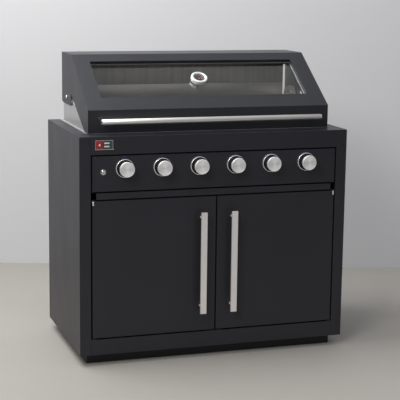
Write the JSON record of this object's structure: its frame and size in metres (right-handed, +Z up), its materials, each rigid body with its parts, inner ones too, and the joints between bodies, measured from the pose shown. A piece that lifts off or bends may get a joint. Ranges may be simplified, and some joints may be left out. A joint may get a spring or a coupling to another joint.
{
  "type": "gas barbecue grill",
  "caption": "Cabinet gas barbecue with a sloping windowed hood, turning push-in knobs, a pull-out grease tray and two hinged cupboard doors.",
  "frame": {"origin": "centre of the bounding box, on the floor under the plinth", "axes": "+Z up; +X to the right as the cook faces the front; -Y towards the cook"},
  "size_m": [1.15, 0.66, 1.237],
  "materials": {
    "black_paint": "satin powder coat, fine texture",
    "hood_paint": "satin powder coat, fine texture",
    "kick_black": "matt black",
    "badge": "enamel in a bright metal rim",
    "stainless": "brushed",
    "burner_steel": "mill finish",
    "valve_brass": "satin",
    "grate_iron": "matt, fine cast grain",
    "bright_chrome": "polished",
    "knob_metal": "turned face, satin flank",
    "satin_steel": "satin, brushed along its length",
    "glass": "clear, polished",
    "needle": "matt"
  },
  "bodies": {
    "cabinet": {"plinth_frame": "kick_black", "cabinet_floor": "black_paint", "side_panel_right": "black_paint", "side_panel_left": "black_paint", "back_panel": "black_paint", "deck_top": "black_paint", "control_panel": "black_paint", "badge_plate": "badge", "magnet_catch": "kick_black", "firebox": "stainless", "flame_tamer_rack": "stainless", "gas_manifold": "valve_brass", "cooking_grate_left": "grate_iron", "cooking_grate_middle": "grate_iron", "cooking_grate_right": "grate_iron", "burner_1": "burner_steel", "burner_2": "burner_steel", "burner_3": "burner_steel", "burner_4": "burner_steel", "burner_5": "burner_steel", "burner_6": "burner_steel", "bezel_1": "bright_chrome", "bezel_2": "bright_chrome", "bezel_3": "bright_chrome", "bezel_4": "bright_chrome", "bezel_5": "bright_chrome", "bezel_6": "bright_chrome", "hinge_upper_left": "bright_chrome", "hinge_upper_right": "bright_chrome", "hinge_lower_left": "bright_chrome", "hinge_lower_right": "bright_chrome", "hood_bracket_left": "stainless", "hood_bracket_right": "stainless", "hood_pivot_bolt_left": "bright_chrome", "hood_pivot_bolt_right": "bright_chrome", "warming_rack": "bright_chrome"},
    "hood": {"hood_shell": "hood_paint", "window_glass": "glass", "window_retainer": "kick_black", "thermometer": "bright_chrome", "hood_handle": "satin_steel"},
    "needle": {"thermometer_needle": "needle"},
    "left_door": {"door_left": "black_paint", "door_handle_left": "satin_steel"},
    "right_door": {"door_right": "black_paint", "door_handle_right": "satin_steel"},
    "tray": {"grease_tray": "black_paint"},
    "button": {"ignition_button": "knob_metal"},
    "valve_1": {"valve_spindle_1": "valve_brass"},
    "knob_1": {"knob_1": "knob_metal"},
    "valve_2": {"valve_spindle_2": "valve_brass"},
    "knob_2": {"knob_2": "knob_metal"},
    "valve_3": {"valve_spindle_3": "valve_brass"},
    "knob_3": {"knob_3": "knob_metal"},
    "valve_4": {"valve_spindle_4": "valve_brass"},
    "knob_4": {"knob_4": "knob_metal"},
    "valve_5": {"valve_spindle_5": "valve_brass"},
    "knob_5": {"knob_5": "knob_metal"},
    "valve_6": {"valve_spindle_6": "valve_brass"},
    "knob_6": {"knob_6": "knob_metal"}
  },
  "joints": [
    {"name": "hood_hinge", "type": "hinge", "parent": "cabinet", "child": "hood", "pos_m": [0, 0.185, 1.051], "axis": [-1, 0, 0], "range_deg": [0, 85]},
    {"name": "left_door_hinge", "type": "hinge", "parent": "cabinet", "child": "left_door", "pos_m": [-0.5145, -0.277, 0.398], "axis": [0, 0, -1], "range_deg": [0, 110]},
    {"name": "right_door_hinge", "type": "hinge", "parent": "cabinet", "child": "right_door", "pos_m": [0.5145, -0.277, 0.398], "axis": [0, 0, 1], "range_deg": [0, 110]},
    {"name": "tray_slide", "type": "slide", "parent": "cabinet", "child": "tray", "axis": [0, -1, 0], "range_m": [0, 0.38]},
    {"name": "ignition_push", "type": "slide", "parent": "cabinet", "child": "button", "axis": [0, 1, 0], "range_m": [0, 0.004], "stiffness_N_per_m": 600, "springref_m": -0.002},
    {"name": "needle_turn", "type": "hinge", "parent": "hood", "child": "needle", "pos_m": [0, -0.03576, 1.14679], "axis": [0, 0.5534, -0.8329], "range_deg": [0, 270], "stiffness_Nm_per_rad": 0.002},
    {"name": "valve_turn_1", "type": "hinge", "parent": "cabinet", "child": "valve_1", "pos_m": [-0.39, -0.285, 0.81], "axis": [0, -1, 0], "range_deg": [0, 210]},
    {"name": "knob_push_1", "type": "slide", "parent": "valve_1", "child": "knob_1", "axis": [0, 1, 0], "range_m": [0, 0.004], "stiffness_N_per_m": 1500, "springref_m": -0.003},
    {"name": "valve_turn_2", "type": "hinge", "parent": "cabinet", "child": "valve_2", "pos_m": [-0.234, -0.285, 0.81], "axis": [0, -1, 0], "range_deg": [0, 210]},
    {"name": "knob_push_2", "type": "slide", "parent": "valve_2", "child": "knob_2", "axis": [0, 1, 0], "range_m": [0, 0.004], "stiffness_N_per_m": 1500, "springref_m": -0.003},
    {"name": "valve_turn_3", "type": "hinge", "parent": "cabinet", "child": "valve_3", "pos_m": [-0.078, -0.285, 0.81], "axis": [0, -1, 0], "range_deg": [0, 210]},
    {"name": "knob_push_3", "type": "slide", "parent": "valve_3", "child": "knob_3", "axis": [0, 1, 0], "range_m": [0, 0.004], "stiffness_N_per_m": 1500, "springref_m": -0.003},
    {"name": "valve_turn_4", "type": "hinge", "parent": "cabinet", "child": "valve_4", "pos_m": [0.078, -0.285, 0.81], "axis": [0, -1, 0], "range_deg": [0, 210]},
    {"name": "knob_push_4", "type": "slide", "parent": "valve_4", "child": "knob_4", "axis": [0, 1, 0], "range_m": [0, 0.004], "stiffness_N_per_m": 1500, "springref_m": -0.003},
    {"name": "valve_turn_5", "type": "hinge", "parent": "cabinet", "child": "valve_5", "pos_m": [0.234, -0.285, 0.81], "axis": [0, -1, 0], "range_deg": [0, 210]},
    {"name": "knob_push_5", "type": "slide", "parent": "valve_5", "child": "knob_5", "axis": [0, 1, 0], "range_m": [0, 0.004], "stiffness_N_per_m": 1500, "springref_m": -0.003},
    {"name": "valve_turn_6", "type": "hinge", "parent": "cabinet", "child": "valve_6", "pos_m": [0.39, -0.285, 0.81], "axis": [0, -1, 0], "range_deg": [0, 210]},
    {"name": "knob_push_6", "type": "slide", "parent": "valve_6", "child": "knob_6", "axis": [0, 1, 0], "range_m": [0, 0.004], "stiffness_N_per_m": 1500, "springref_m": -0.003}
  ]
}
